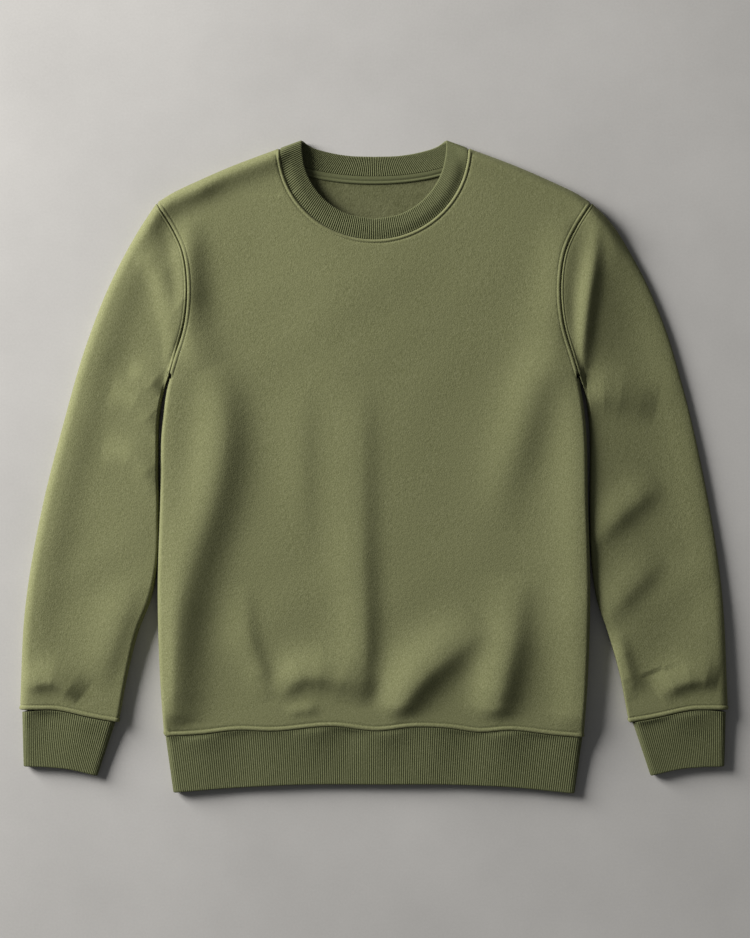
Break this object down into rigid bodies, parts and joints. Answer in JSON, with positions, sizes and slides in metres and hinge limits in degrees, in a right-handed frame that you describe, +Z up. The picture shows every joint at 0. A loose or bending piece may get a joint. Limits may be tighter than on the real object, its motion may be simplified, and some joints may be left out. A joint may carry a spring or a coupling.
{
  "type": "crewneck sweatshirt",
  "caption": "Plain long-sleeved crewneck sweatshirt in fleece with ribbed neck, cuffs and hem, laid flat on its back.",
  "frame": {"origin": "on the surface the garment lies on, under the centre of its outline", "axes": "+X towards the sleeve on the right as seen from above the front, +Y from the hem to the neck, +Z up out of the front panel"},
  "size_m": [0.7664, 0.7073, 0.0253],
  "materials": {
    "fleece": "matt brushed-back cotton fleece in olive green, finely heathered",
    "rib": "matt fine rib knit in the same olive green, slightly darker",
    "tape": "plain woven tape in the same olive green"
  },
  "bodies": {
    "root": {"front": "fleece", "back": "fleece", "sleeve_left": "fleece", "sleeve_right": "fleece", "cuff_left": "rib", "cuff_right": "rib", "hem_rib": "rib", "neck_rib": "rib", "neck_tape": "tape"}
  },
  "joints": []
}
